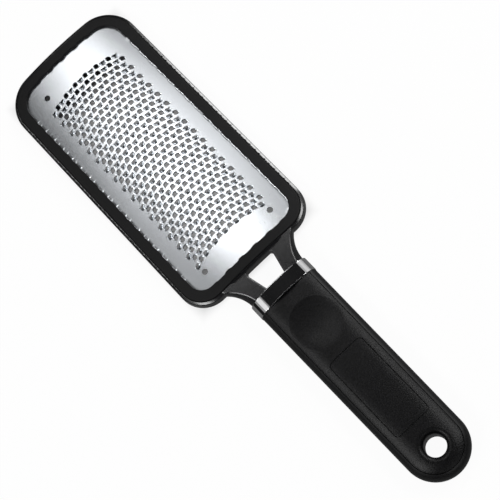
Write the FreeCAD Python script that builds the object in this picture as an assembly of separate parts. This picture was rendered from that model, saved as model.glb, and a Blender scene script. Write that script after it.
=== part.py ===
import FreeCAD, Part
import math
import os

# A hand-held foot file, lying teeth up, in millimetres. +X runs from the head to the handle and +Z is up.
# The origin is under the middle of the whole length, on the surface that the file lies on.

V = FreeCAD.Vector

# Head, seen from above
head_length = 142.0
head_width = 69.2
far_corner_radius = 15.5
near_corner_radius = 14.0
least_corner_radius = 2.0
frame_band = 7.0           # from the head's edge to the plate window
shoulder_width = 1.5       # rim of the carrier left showing outside the bezel
plate_lap = 3.6            # margin of the plate under the bezel
ledge_width = 4.6          # seat that shows inside the window, at the sides and the near end
far_ledge_width = 16.5     # the same at the far end, where it backs the first rows of teeth

# Head, in section
arch_radius = 136.0        # top of the plate, bowed across the head
plate_thickness = 0.5
bezel_thickness = 1.6
carrier_thickness = 3.6    # below the plate's seat
rim_drop = 0.6             # the rim stands this much lower than the bezel
wall_draft = 0.9           # the outer wall leans in this much over the head's height
rest_flat_depth = 0.6      # taken off the lower edges, where the head rests

# Shallow bays along the bezel's inner edge
bay_depth = 0.45
side_bay_pitch = 6.4
side_bay_length = 2.8
end_bay_pitch = 7.9
end_bay_length = 5.0

# Tabs under the bezel, through the plate and into the carrier
tab_length = 4.0
tab_width = 1.4
tab_depth = 1.3            # below the plate's seat
side_tab_count = 2
side_tab_spacing = 84.0

# Teeth
tooth_rows = 33
teeth_per_row = 13
row_pitch = 3.15
tooth_pitch = 3.17
row_bow_radius = 71.0
field_setback = 20.3       # far end of the head to the middle of the first row
mouth_width = 2.0
mouth_length = 1.7
lip_height = 1.1
lip_ramp = 0.9             # behind the mouth
lip_lean = 0.3             # forward lean for each millimetre of height
lip_reach = 1.5            # length of the lip's tool along its ridge, in lip heights
first_bend = 1.375         # tooth pitches from the middle, clear of every second column
bend_spacing = 3           # tooth pitches

# Locating holes of the plate
locating_hole_diameter = 2.8
far_hole_setback = 14.8
far_hole_offset = 17.3
near_hole_setback = 13.9
near_hole_offset = 19.3

# Neck
neck_length = 12.3
neck_root_width = 42.0
neck_end_width = 29.6
neck_flank_radius = 17.0   # hollow curve of each outer side
neck_thickness = 5.0
neck_bevel = 2.0
window_root_width = 15.2
window_end_width = 9.6
window_round = 1.0

# Ferrule, spigot and tang
ferrule_length = 6.85
ferrule_proud = 0.25
ferrule_wall = 1.5
ferrule_bevel = 0.4
tang_length = 42.0
tang_width = 17.0
tang_thickness = 4.4
tang_point = 1.5           # bevel at the tang's tip

# Handle
handle_length = 103.0
handle_front_width = 30.7
handle_end_width = 29.5
handle_thickness = 12.0
back_round = 5.2           # side's radius below its widest line
front_round = 6.0          # side's radius above it
crown_turn = 75.0          # degrees of the front round before the crown takes over
crown_run = 5.0            # slope between the rounded side and the flat of the crown
round_steps = 4            # flats that each rounded side is worked in
end_steps = 16             # flats round the handle's end
side_band = 2.5            # hard side left showing beside the soft panels
front_panel_floor = 8.6
rear_panel_floor = 2.0
hang_hole_diameter = 9.4
hang_hole_setback = 14.0
hang_hole_bevel = 0.5
thumb_rest_diameter = 23.5
thumb_rest_setback = 19.0  # from the handle's front
thumb_rest_depth = 0.55
thumb_rest_tilt = 2.2      # degrees, deeper towards the head
label_setback = 35.5
label_length = 41.7
label_width = 18.4
label_corner = 1.2
label_groove = 0.4
label_groove_depth = 0.3

# Fits
seat_gap = 0.05            # between pieces that lie on each other
fit_gap = 0.12             # beside pieces that drop into a recess
tang_gap = 0.15
slack = 1.0                # spare length on cutting tools
hair = 1e-6                # for telling edges apart

# Places along the file
overall_length = head_length + neck_length + ferrule_length + handle_length
far_x = -overall_length / 2
near_x = far_x + head_length
ferrule_x = near_x + neck_length
handle_x = ferrule_x + ferrule_length
end_x = handle_x + handle_length
end_centre_x = end_x - handle_end_width / 2
hang_x = end_x - hang_hole_setback
tang_z = (front_panel_floor + rear_panel_floor) / 2

# Radii of the arched layers, all about one axis along the file
seat_radius = arch_radius - plate_thickness - seat_gap
under_radius = seat_radius - carrier_thickness
bezel_radius = arch_radius + seat_gap
crown_radius = bezel_radius + bezel_thickness
rim_radius = crown_radius - rim_drop
axis_z = -rest_flat_depth - math.sqrt(under_radius ** 2 - (head_width / 2) ** 2)
top_z = axis_z + crown_radius + lip_height + slack


def line(a, b):
    return Part.LineSegment(a, b).toShape()


def arc(a, b, c):
    return Part.Arc(a, b, c).toShape()


def polygon(points):
    return Part.Face(Part.makePolygon(points + points[:1]))


def solid_of(faces):
    shell = Part.Shell([polygon(points) for points in faces])
    shell.sewShape()
    solid = Part.Solid(shell)
    return solid if solid.Volume > 0 else solid.reversed()


def prism(edges, low, high):
    face = Part.Face(Part.Wire(edges))
    face.translate(V(0, 0, low))
    return face.extrude(V(0, 0, high - low))


def block(x0, x1, y0, y1, z0, z1):
    return Part.makeBox(x1 - x0, y1 - y0, z1 - z0, V(x0, y0, z0))


# Head outlines: each ring of the head is the same outline drawn in by some amount
def head_outline(inset, far_extra=0.0, z=0.0):
    x0 = far_x + inset + far_extra
    x1 = near_x - inset
    y = head_width / 2 - inset
    far_r = max(far_corner_radius - inset, least_corner_radius)
    near_r = max(near_corner_radius - inset, least_corner_radius)

    def corner(x, side, r, way):
        centre = V(x - way * r, side * (y - r), z)
        slant = r * math.sqrt(0.5)
        along = centre + V(0, side * r, 0)
        across = centre + V(way * r, 0, 0)
        middle = centre + V(way * slant, side * slant, 0)
        return along, middle, across

    nl = corner(x1, -1, near_r, 1)
    nr = corner(x1, 1, near_r, 1)
    fr = corner(x0, 1, far_r, -1)
    fl = corner(x0, -1, far_r, -1)
    return [
        line(fl[0], nl[0]), arc(*nl),
        line(nl[2], nr[2]), arc(nr[2], nr[1], nr[0]),
        line(nr[0], fr[0]), arc(*fr),
        line(fr[2], fl[2]), arc(fl[2], fl[1], fl[0]),
    ]


# The arch is a chain of narrow flats; these are their bends at one radius, from side to side
def arch_bends(radius):
    half = []
    turn = first_bend * tooth_pitch / arch_radius
    while not half or half[-1].y < head_width / 2 + slack:
        half.append(V(0, radius * math.sin(turn), axis_z + radius * math.cos(turn)))
        turn += bend_spacing * tooth_pitch / arch_radius
    return [V(0, -p.y, p.z) for p in reversed(half)] + half


# Slope and height of the arch at some distance from the middle
def arch_slope(radius, y):
    bends = arch_bends(radius)
    a, b = next((a, b) for a, b in zip(bends, bends[1:]) if y <= b.y)
    slope = (b.z - a.z) / (b.y - a.y)
    return slope, a.z + slope * (y - a.y)


def arch_height(radius, y):
    return arch_slope(radius, y)[1]


# A layer of the head between two radii about the arch's axis
def arch_layer(low, high):
    layer = polygon(arch_bends(low) + arch_bends(high)[::-1])
    layer.translate(V(far_x - slack, 0, 0))
    return layer.extrude(V(head_length + 2 * slack, 0, 0))


def head_layer(inset, low, high):
    return prism(head_outline(inset), -slack, top_z).common(arch_layer(low, high))


# Tabs and their slots: one set of places, each tool with its own clearance and depth
def tab_blocks(gap, low_radius, high_radius):
    inset = frame_band - plate_lap / 2
    y = head_width / 2 - inset
    first = (far_x + near_x) / 2 - side_tab_spacing * (side_tab_count - 1) / 2
    places = [(first + i * side_tab_spacing, side * y, tab_length, tab_width)
              for i in range(side_tab_count) for side in (-1, 1)]
    places += [(x, 0, tab_width, tab_length) for x in (far_x + inset, near_x - inset)]
    return [block(x - dx / 2 - gap, x + dx / 2 + gap, yy - dy / 2 - gap, yy + dy / 2 + gap,
                  arch_height(low_radius, yy), arch_height(high_radius, yy))
            for x, yy, dx, dy in places]


# Teeth: a leaning three-sided mouth through the sheet, with a peaked lip raised round its back
def tooth_tools():
    front = mouth_length / 2
    back = -mouth_length / 2
    half = mouth_width / 2
    deep = plate_thickness + slack
    tall = lip_height + slack
    drift = V(-lip_lean * deep, 0, -deep)
    mouth = polygon([V(front, -half, 0) + drift, V(front, half, 0) + drift, V(back, 0, 0) + drift])
    mouth = mouth.extrude(V(lip_lean * (deep + tall), 0, deep + tall))

    heel = V(back - lip_ramp, 0, 0)
    ridge = V(back + lip_lean * lip_height, 0, lip_height) - heel
    root = plate_thickness / 2 / lip_height
    sunk = heel - ridge * root
    apex = heel + ridge * lip_reach
    side = (V(front, half, 0) - heel) * (1 + root / lip_reach)
    left = sunk + V(side.x, -side.y, 0)
    right = sunk + side
    lip = solid_of([[sunk, right, left], [sunk, left, apex], [sunk, apex, right], [left, right, apex]])
    return mouth, lip


# Rows are bowed towards the far end, and neighbours along and across the rows cut opposite ways
def tooth_places():
    for column in range(2 * teeth_per_row):
        place, shift = divmod(column, 2)
        y = (place - (teeth_per_row - 1) / 2) * tooth_pitch + (shift - 0.5) * tooth_pitch / 2
        bow = math.asin(y / row_bow_radius)
        x = far_x + field_setback + row_bow_radius * (1 - math.cos(bow))
        faces_far = place % 2 == shift
        turn = FreeCAD.Rotation(V(0, 0, 1), -math.degrees(bow) + (180 if faces_far else 0))
        slope, z = arch_slope(arch_radius, y)
        tilt = FreeCAD.Rotation(V(1, 0, 0), math.degrees(math.atan(slope)))
        for row in range(shift, tooth_rows, 2):
            at = V(x + row * row_pitch, y, z)
            yield FreeCAD.Placement(at, tilt.multiply(turn))


def locating_holes():
    radius = locating_hole_diameter / 2
    places = [(far_x + far_hole_setback, -far_hole_offset)]
    places += [(near_x - near_hole_setback, side * near_hole_offset) for side in (-1, 1)]
    return [Part.makeCylinder(radius, top_z, V(x, y, 0)) for x, y in places]


def rasp_plate():
    sheet = head_layer(frame_band - plate_lap, arch_radius - plate_thickness, arch_radius)
    sheet = sheet.cut(locating_holes() + tab_blocks(fit_gap, under_radius, crown_radius))
    mouth, lip = tooth_tools()
    mouths, lips = [], []
    for place in tooth_places():
        for tool, tools in ((mouth, mouths), (lip, lips)):
            copy = tool.copy()
            copy.Placement = place
            tools.append(copy)
    return sheet.fuse(lips).cut(mouths)


# The bezel's inner edge is stepped by shallow bays with slanted ends
def bay(x, y, along_x, length, way):
    near = length / 2 + bay_depth
    deep = length / 2 - bay_depth
    points = [(-near, -bay_depth), (near, -bay_depth), (deep, bay_depth), (-deep, bay_depth)]
    corners = [V(x + a, y + way * d, 0) if along_x else V(x + way * d, y + a, 0) for a, d in points]
    return polygon(corners).extrude(V(0, 0, top_z))


def bays():
    y = head_width / 2 - frame_band
    x0 = far_x + frame_band
    x1 = near_x - frame_band
    far_r = max(far_corner_radius - frame_band, least_corner_radius)
    near_r = max(near_corner_radius - frame_band, least_corner_radius)
    first, last = x0 + far_r, x1 - near_r
    count = int((last - first) / side_bay_pitch)
    start = (first + last - (count - 1) * side_bay_pitch) / 2
    tools = [bay(start + i * side_bay_pitch, side * y, True, side_bay_length, side)
             for i in range(count) for side in (-1, 1)]
    for x, way, r in ((x0, -1, far_r), (x1, 1, near_r)):
        number = int(2 * (y - r) / end_bay_pitch)
        begin = -(number - 1) * end_bay_pitch / 2
        tools += [bay(x, begin + i * end_bay_pitch, False, end_bay_length, way) for i in range(number)]
    return tools


def frame_bezel():
    ring = head_layer(shoulder_width + fit_gap, bezel_radius, crown_radius)
    ring = ring.cut([prism(head_outline(frame_band), 0, top_z)] + bays())
    tabs = tab_blocks(0, seat_radius - tab_depth, bezel_radius + bezel_thickness / 2)
    return ring.fuse(tabs).removeSplitter()


# Neck: hollow outer sides with bevelled edges, and a window between the two struts
def neck():
    strut_y = (neck_root_width + window_root_width) / 4
    low = arch_height((under_radius + rim_radius) / 2, strut_y) - neck_thickness / 2
    x0 = near_x - shoulder_width / 2
    root, end = neck_root_width / 2, neck_end_width / 2
    chord = V(ferrule_x - x0, end - root, 0)
    sag = neck_flank_radius - math.sqrt(neck_flank_radius ** 2 - (chord.Length / 2) ** 2)
    middle = V((x0 + ferrule_x) / 2, (root + end) / 2, 0) + V(chord.y, -chord.x, 0) * (sag / chord.Length)
    a, b = V(x0, root, 0), V(ferrule_x, end, 0)
    c, d, left = V(ferrule_x, -end, 0), V(x0, -root, 0), V(middle.x, -middle.y, 0)
    bar = prism([arc(a, middle, b), line(b, c), arc(c, left, d), line(d, a)], low, low + neck_thickness)
    flanks = [e for e in bar.Edges if isinstance(e.Curve, Part.Circle)]
    return bar.makeChamfer(neck_bevel, flanks).cut(neck_window())


def neck_window():
    root = window_root_width / 2
    end = window_end_width / 2
    hole = polygon([V(near_x, -root, 0), V(near_x, root, 0), V(ferrule_x, end, 0), V(ferrule_x, -end, 0)])
    hole = hole.extrude(V(0, 0, top_z))
    corners = [e for e in hole.Edges if abs(e.CenterOfMass.x - near_x) < hair and e.BoundBox.YLength < slack]
    return hole.makeFillet(window_round, corners)


def tang():
    y = tang_width / 2
    t = tang_thickness / 2
    bar = block(handle_x, handle_x + tang_length, -y, y, tang_z - t, tang_z + t)
    tip = [e for e in bar.Edges if abs(e.CenterOfMass.x - handle_x - tang_length) < hair]
    return bar.makeChamfer(tang_point, tip)


def head_frame():
    levels = [(0.0, 0.0), (wall_draft, top_z)]
    wall = Part.makeLoft([Part.Wire(head_outline(inset, 0, z)) for inset, z in levels], True, True)
    body = wall.common(arch_layer(under_radius, rim_radius))
    bezel_seat = head_layer(shoulder_width, arch_radius, crown_radius + slack)
    plate_seat = head_layer(frame_band - plate_lap - fit_gap, seat_radius, crown_radius + slack)
    opening = prism(head_outline(frame_band + ledge_width, far_ledge_width - ledge_width), -slack, top_z)
    sockets = tab_blocks(fit_gap, seat_radius - tab_depth - fit_gap, crown_radius)
    body = body.cut([bezel_seat, plate_seat, opening] + sockets)
    spigot = ferrule_section(ferrule_x, ferrule_wall + fit_gap).extrude(V(ferrule_length, 0, 0))
    return body.fuse([neck(), spigot, tang()]).removeSplitter()


# Side of the handle, from the back to the crown: how far in from its widest line, and how high
def side_profile(low, high, low_r, high_r):
    side_z = low + low_r
    points = []
    for i in range(round_steps):
        turn = math.pi / 2 * (1 - i / round_steps)
        points.append((low_r * (1 - math.cos(turn)), side_z - low_r * math.sin(turn)))
    for i in range(round_steps + 1):
        turn = math.radians(crown_turn) * i / round_steps
        points.append((high_r * (1 - math.cos(turn)), side_z + high_r * math.sin(turn)))
    return points + [(points[-1][0] + crown_run, high)]


def section(x, half_width, profile):
    right = [V(x, half_width - inset, z) for inset, z in profile]
    return right + [V(p.x, -p.y, p.z) for p in reversed(right)]


def ferrule_section(x, inset):
    high = handle_thickness + ferrule_proud - inset
    profile = side_profile(inset, high, back_round - inset, front_round - inset)
    return polygon(section(x, handle_front_width / 2 + ferrule_proud - inset, profile))


# The handle's outline from above, drawn in by some amount
def handle_outline(start, inset, z):
    front = handle_front_width / 2 - inset
    end = handle_end_width / 2 - inset
    turns = [math.pi * (i / end_steps - 0.5) for i in range(end_steps + 1)]
    cap = [V(end_centre_x + end * math.cos(t), end * math.sin(t), z) for t in turns]
    return [V(start, -front, z)] + cap + [V(start, front, z)]


def handle_body():
    profile = side_profile(0, handle_thickness, back_round, front_round)
    rings = [handle_outline(handle_x, inset, z) for inset, z in profile]
    faces = [rings[0], rings[-1], section(handle_x, handle_front_width / 2, profile)]
    for lower, upper in zip(rings, rings[1:]):
        faces += [[a, b, c, d] for a, b, c, d in zip(lower, lower[1:], upper[1:], upper)]
    return solid_of(faces)


# A block with the outline of the soft panels
def panel_block(start, inset, low, high):
    return polygon(handle_outline(start, inset, low)).extrude(V(0, 0, high - low))


def hang_hole():
    return Part.makeCylinder(hang_hole_diameter / 2, handle_thickness + 2 * slack, V(hang_x, 0, -slack))


# Bevels of the hang hole's two rims
def hang_rims():
    small = hang_hole_diameter / 2
    wide = small + hang_hole_bevel + slack
    tall = hang_hole_bevel + slack
    top = Part.makeCone(small, wide, tall, V(hang_x, 0, handle_thickness - hang_hole_bevel))
    back = Part.makeCone(small, wide, tall, V(hang_x, 0, hang_hole_bevel), V(0, 0, -1))
    return [top, back]


def handle_core():
    front = panel_block(handle_x - slack, side_band, front_panel_floor, handle_thickness + slack)
    rear = panel_block(handle_x - slack, side_band, -slack, rear_panel_floor)
    y = tang_width / 2 + tang_gap
    t = tang_thickness / 2 + tang_gap
    socket = block(handle_x - slack, handle_x + tang_length + tang_gap, -y, y, tang_z - t, tang_z + t)
    face = block(handle_x - slack, handle_x + seat_gap, -handle_front_width, handle_front_width,
                 -slack, handle_thickness + slack)
    return handle_body().cut([front, rear, socket, face, hang_hole()])


def grip(low, high):
    panel = panel_block(handle_x + seat_gap, side_band + fit_gap, low, high)
    return handle_body().common(panel).cut([hang_hole()] + hang_rims())


# The thumb rest's floor is the handle's own front, lowered and tipped
def thumb_rest():
    x = handle_x + thumb_rest_setback
    well = Part.makeCylinder(thumb_rest_diameter / 2, handle_thickness, V(x, 0, handle_thickness / 2))
    floor = handle_body()
    floor.rotate(V(x, 0, handle_thickness), V(0, 1, 0), -thumb_rest_tilt)
    floor.translate(V(0, 0, -thumb_rest_depth))
    return well.cut(floor)


def label_frame(inset):
    x0 = handle_x + label_setback + inset
    x1 = handle_x + label_setback + label_length - inset
    y = label_width / 2 - inset
    bar = block(x0, x1, -y, y, handle_thickness / 2, handle_thickness + slack)
    upright = [e for e in bar.Edges if abs(e.Vertexes[0].Z - e.Vertexes[1].Z) > slack]
    return bar.makeChamfer(label_corner, upright)


def label_outline():
    floor = handle_body()
    floor.translate(V(0, 0, -label_groove_depth))
    return label_frame(0).cut(label_frame(label_groove)).cut(floor)


def front_grip():
    panel = grip(front_panel_floor + seat_gap, handle_thickness + slack)
    return panel.cut([thumb_rest(), label_outline()])


def rear_grip():
    return grip(-slack, rear_panel_floor - seat_gap)


def ferrule():
    ring = ferrule_section(ferrule_x + seat_gap, 0).extrude(V(ferrule_length - seat_gap, 0, 0))
    ends = [e for e in ring.Edges if e.BoundBox.XLength < hair]
    hole = ferrule_section(ferrule_x, ferrule_wall).extrude(V(ferrule_length + slack, 0, 0))
    return ring.makeChamfer(ferrule_bevel, ends).cut(hole)


os.makedirs("parts", exist_ok=True)
for make in (rasp_plate, frame_bezel, head_frame, ferrule, handle_core, front_grip, rear_grip):
    shape = make()
    shape.exportStep("parts/" + make.__name__ + ".step")
    print(make.__name__, len(shape.Solids), "solid", round(shape.Volume, 1), "mm3", shape.isValid())
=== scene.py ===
import math

import bmesh
import bpy
import numpy as np
from mathutils import Matrix, Vector
from mathutils.geometry import delaunay_2d_cdt


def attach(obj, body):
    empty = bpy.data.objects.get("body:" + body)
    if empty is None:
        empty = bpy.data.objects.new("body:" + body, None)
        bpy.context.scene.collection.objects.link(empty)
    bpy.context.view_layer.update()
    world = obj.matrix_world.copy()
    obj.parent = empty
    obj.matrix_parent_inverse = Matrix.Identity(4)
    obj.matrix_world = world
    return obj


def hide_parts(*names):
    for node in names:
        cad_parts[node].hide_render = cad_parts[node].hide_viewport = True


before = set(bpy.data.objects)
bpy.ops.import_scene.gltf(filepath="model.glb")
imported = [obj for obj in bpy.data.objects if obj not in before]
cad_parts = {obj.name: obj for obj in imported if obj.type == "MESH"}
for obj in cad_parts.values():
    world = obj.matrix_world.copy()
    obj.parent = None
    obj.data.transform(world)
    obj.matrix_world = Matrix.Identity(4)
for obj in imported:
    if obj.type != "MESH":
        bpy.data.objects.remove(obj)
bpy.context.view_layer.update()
print("frame loaded:", ", ".join(sorted(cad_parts)))

mm = 0.001

# lengths along the file, from the head to the handle, in mm like every size of the part
runs = {"head": 142.0, "neck": 12.3, "ferrule": 6.85, "handle": 103.0}
farX = -sum(runs.values()) / 2
nearX = farX + runs["head"]
ferruleX = nearX + runs["neck"]
handleX = ferruleX + runs["ferrule"]
endX = handleX + runs["handle"]

# the head is bowed across: every layer of it has a radius about one long axis under it
arch = {"sheetTop": 136.0, "seat": 135.45, "under": 131.85, "bezelTop": 137.65, "rim": 137.05,
        "restCut": 0.6}
head = {"width": 69.2, "farCorner": 15.5, "nearCorner": 14.0, "leastCorner": 2.0, "cornerSteps": 14,
        "farTrim": 0.2}
axisZ = -arch["restCut"] - math.sqrt(arch["under"] ** 2 - (head["width"] / 2) ** 2)


def archZ(radius, y):
    return axisZ + np.sqrt(radius ** 2 - np.square(y))


# mesh helpers

meshing = {"weld": 0.002, "zeroLength": 1e-6, "slopeStep": 0.004, "pullIn": 0.04, "curvedFrom": 0.2,
           "joinWithin": 1e-5}


def addObject(name, data):
    obj = bpy.data.objects.new(name, data)
    bpy.context.scene.collection.objects.link(obj)
    return obj


def makePiece(name, verts, faces, node, slot, material, sharp=35.0, heights=None, way=1):
    mesh = bpy.data.meshes.new(name)
    bm = bmesh.new()
    made = [bm.verts.new(Vector(v) * mm) for v in verts]
    for face in faces:
        corners = list(dict.fromkeys(face))
        if len(corners) > 2:
            try:
                bm.faces.new([made[i] for i in corners])
            except ValueError:
                pass  # the same face twice, where loops close up
    bmesh.ops.remove_doubles(bm, verts=bm.verts, dist=meshing["weld"] * mm)
    bmesh.ops.dissolve_degenerate(bm, dist=meshing["zeroLength"] * mm, edges=bm.edges)
    bmesh.ops.recalc_face_normals(bm, faces=bm.faces)
    bm.to_mesh(mesh)
    bm.free()
    finishPiece(addObject(name, mesh), node, material, sharp, heights, way)


def curvedNormals(mesh, heights, way):
    # normals straight from the height function, so that uneven triangles do not show
    step = meshing["slopeStep"]
    custom = []
    for poly in mesh.polygons:
        curved = poly.normal.z * way > meshing["curvedFrom"]
        for i in poly.loop_indices:
            if not curved:
                custom.append(tuple(poly.normal))
                continue
            corner = mesh.vertices[mesh.loops[i].vertex_index].co
            x, y, _ = corner.lerp(poly.center, meshing["pullIn"]) / mm
            z = heights(np.array([(x + step, y), (x - step, y), (x, y + step), (x, y - step)]))
            slopes = Vector(((z[1] - z[0]) / (2 * step), (z[3] - z[2]) / (2 * step), 1.0))
            custom.append(tuple(slopes.normalized() * way))
    mesh.normals_split_custom_set(custom)


def bakeModifiers(obj):
    bpy.context.view_layer.update()
    obj.data = bpy.data.meshes.new_from_object(obj.evaluated_get(bpy.context.evaluated_depsgraph_get()))
    obj.modifiers.clear()
    return obj.data


def finishPiece(obj, node, material, sharp, heights=None, way=1):
    mesh = obj.data
    mesh.materials.clear()
    mesh.materials.append(material)
    for poly in mesh.polygons:
        poly.use_smooth = True
        poly.material_index = 0
    mesh.set_sharp_from_angle(angle=math.radians(sharp))
    settle = obj.modifiers.new("normals", "WEIGHTED_NORMAL")
    settle.keep_sharp = True
    mesh = bakeModifiers(obj)
    if heights:
        curvedNormals(mesh, heights, way)
    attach(obj, "root")
    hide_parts(node)
    print(node, "dressed:", len(mesh.polygons), "faces")


def insideLoop(loop, points):
    xs, ys = points[:, 0], points[:, 1]
    inside = np.zeros(len(points), bool)
    ax, ay = loop[-1]
    for bx, by in loop:
        crosses = (ay > ys) != (by > ys)
        with np.errstate(divide="ignore", invalid="ignore"):
            inside ^= crosses & (xs < (bx - ax) * (ys - ay) / (by - ay) + ax)
        ax, ay = bx, by
    return inside


def fillRegion(outer, holes=(), lines=(), points=(), threads=()):
    # the loops as single-precision numbers, which is what the triangles are made from
    outer = np.array(outer, np.float32).astype(float)
    holes = [np.array(hole, np.float32).astype(float) for hole in holes]
    coords, edges = [], []
    for loop in [outer, *holes, *lines]:
        first = len(coords)
        coords += [Vector((float(p[0]), float(p[1]))) for p in loop]
        count = len(loop)
        edges += [(first + i, first + (i + 1) % count) for i in range(count)]
    for thread in threads:
        edges += [(len(coords) + i, len(coords) + i + 1) for i in range(len(thread) - 1)]
        coords += [Vector((float(p[0]), float(p[1]))) for p in thread]
    coords += [Vector((float(p[0]), float(p[1]))) for p in points]
    flat, _, faces, *_ = delaunay_2d_cdt(coords, edges, [], 0, meshing["joinWithin"])
    flat = np.array([(v.x, v.y) for v in flat])
    faces = np.array([f for f in faces if len(f) == 3])
    middles = flat[faces].mean(axis=1)
    keep = insideLoop(outer, middles)
    for hole in holes:
        keep &= ~insideLoop(hole, middles)
    return flat, faces[keep]


def circle(x, y, radius, steps):
    turns = np.linspace(0, 2 * math.pi, steps, endpoint=False)
    return np.column_stack((x + radius * np.cos(turns), y + radius * np.sin(turns)))


def roundProfile(cx, cz, r, start, stop, steps=4):
    turns = [math.radians(start + (stop - start) * i / steps) for i in range(steps + 1)]
    return [(cx + r * math.cos(t), cz + r * math.sin(t)) for t in turns]


def densify(points, step):
    out = []
    for (ax, ay), (bx, by) in zip(points, points[1:] + points[:1]):
        parts = max(1, int(math.hypot(bx - ax, by - ay) / step))
        out += [(ax + (bx - ax) * i / parts, ay + (by - ay) * i / parts) for i in range(parts)]
    return out


def loft(sections, closed=False, capped=True):
    verts = [p for s in sections for p in s]
    n, count = len(sections[0]), len(sections)
    faces = []
    for i in range(count if closed else count - 1):
        a, b = i * n, (i + 1) % count * n
        faces += [(a + j, a + (j + 1) % n, b + (j + 1) % n, b + j) for j in range(n)]
    if capped and not closed:
        faces += [tuple(range(n)), tuple(range((count - 1) * n, count * n))]
    return verts, faces


def joinMeshes(*parts):
    verts, faces = [], []
    for v, f in parts:
        first = len(verts)
        verts += list(v)
        faces += [tuple(i + first for i in face) for face in f]
    return verts, faces


def faceUp(bm, weld):
    bmesh.ops.remove_doubles(bm, verts=bm.verts, dist=weld)
    bmesh.ops.recalc_face_normals(bm, faces=bm.faces)
    if sum(f.normal.z * f.calc_area() for f in bm.faces) < 0:
        bmesh.ops.reverse_faces(bm, faces=bm.faces)


# shader helpers

def newMaterial(name, sockets):
    material = bpy.data.materials.new(name)
    material.use_nodes = True
    tree = material.node_tree
    shader = tree.nodes["Principled BSDF"]
    for key, value in sockets.items():
        shader.inputs[key].default_value = value
    return material, tree, shader


def objectCoords(tree, scale):
    coords = tree.nodes.new("ShaderNodeTexCoord")
    mapping = tree.nodes.new("ShaderNodeMapping")
    mapping.inputs["Scale"].default_value = scale
    tree.links.new(coords.outputs["Object"], mapping.inputs["Vector"])
    return mapping.outputs["Vector"]


grainMix = {"fineDetail": 3.0, "patchDetail": 2.0, "fineShare": 0.5, "patchShare": 0.5,
            "span": (0.3, 0.7), "toneStops": (0.35, 0.68)}


def grainGroup():
    group = bpy.data.node_groups.new("fineGrain", "ShaderNodeTree")
    face = group.interface
    face.new_socket("Vector", in_out="INPUT", socket_type="NodeSocketVector")
    for name in ("Size", "Blotch", "Low", "High"):
        face.new_socket(name, in_out="INPUT", socket_type="NodeSocketFloat")
    for name in ("Grain", "Roughness"):
        face.new_socket(name, in_out="OUTPUT", socket_type="NodeSocketFloat")
    nodes, links = group.nodes, group.links
    given, out = nodes.new("NodeGroupInput"), nodes.new("NodeGroupOutput")
    noises = []
    for scale, detail in (("Size", grainMix["fineDetail"]), ("Blotch", grainMix["patchDetail"])):
        noise = nodes.new("ShaderNodeTexNoise")
        noise.inputs["Detail"].default_value = detail
        links.new(given.outputs["Vector"], noise.inputs["Vector"])
        links.new(given.outputs[scale], noise.inputs["Scale"])
        noises.append(noise.outputs["Fac"])
    fine, patch = noises
    patches = nodes.new("ShaderNodeMath")
    patches.operation = "MULTIPLY"
    patches.inputs[1].default_value = grainMix["patchShare"]
    links.new(patch, patches.inputs[0])
    mixed = nodes.new("ShaderNodeMath")
    mixed.operation = "MULTIPLY_ADD"
    mixed.inputs[1].default_value = grainMix["fineShare"]
    links.new(fine, mixed.inputs[0])
    links.new(patches.outputs[0], mixed.inputs[2])
    spread = nodes.new("ShaderNodeMapRange")
    for end, value in zip(("From Min", "From Max"), grainMix["span"]):
        spread.inputs[end].default_value = value
    links.new(mixed.outputs[0], spread.inputs["Value"])
    links.new(given.outputs["Low"], spread.inputs["To Min"])
    links.new(given.outputs["High"], spread.inputs["To Max"])
    links.new(fine, out.inputs["Grain"])
    links.new(spread.outputs["Result"], out.inputs["Roughness"])
    return group


fineGrain = grainGroup()


def grainyMaterial(name, look):
    material, tree, shader = newMaterial(name, look["sockets"])
    grain = tree.nodes.new("ShaderNodeGroup")
    grain.node_tree = fineGrain
    for key in ("Size", "Blotch", "Low", "High"):
        grain.inputs[key].default_value = look[key.lower()]
    tree.links.new(objectCoords(tree, look["stretch"]), grain.inputs["Vector"])
    tree.links.new(grain.outputs["Roughness"], shader.inputs["Roughness"])
    relief = tree.nodes.new("ShaderNodeBump")
    relief.inputs["Strength"].default_value = look["bump"]
    relief.inputs["Distance"].default_value = look["depth"] * mm
    tree.links.new(grain.outputs["Grain"], relief.inputs["Height"])
    tree.links.new(relief.outputs["Normal"], shader.inputs["Normal"])
    ramp = tree.nodes.new("ShaderNodeValToRGB")
    for element, place, tone in zip(ramp.color_ramp.elements, grainMix["toneStops"], look["tones"]):
        element.position = place
        element.color = (*tone, 1)
    tree.links.new(grain.outputs["Grain"], ramp.inputs["Fac"])
    tree.links.new(ramp.outputs["Color"], shader.inputs["Base Color"])
    return material


# the inside tone is painted shade, a dark colour for the sheet's underside and cut edges
steelLook = {"sockets": {"Metallic": 1.0}, "stretch": (0.12, 1.0, 1.0),
             "size": 2600, "blotch": 70, "low": 0.24, "high": 0.28, "bump": 0.025, "depth": 0.01,
             "tones": ((0.72, 0.745, 0.775), (0.76, 0.785, 0.815)), "inside": (0.14, 0.147, 0.16)}


def satinSteel():
    material = grainyMaterial("satinSteel", steelLook)
    tree = material.node_tree
    base = tree.nodes["Principled BSDF"].inputs["Base Color"]
    inside = tree.nodes.new("ShaderNodeAttribute")  # painted shade: the sheet's underside and cut edges, seen in the holes and under the hoods, get a dark colour
    inside.attribute_name = "inside"
    insideShade = tree.nodes.new("ShaderNodeMix")
    insideShade.data_type = "RGBA"
    insideShade.inputs["B"].default_value = (*steelLook["inside"], 1)
    tree.links.new(inside.outputs["Fac"], insideShade.inputs["Factor"])
    tree.links.new(base.links[0].from_socket, insideShade.inputs["A"])
    tree.links.new(insideShade.outputs["Result"], base)
    return material


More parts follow.
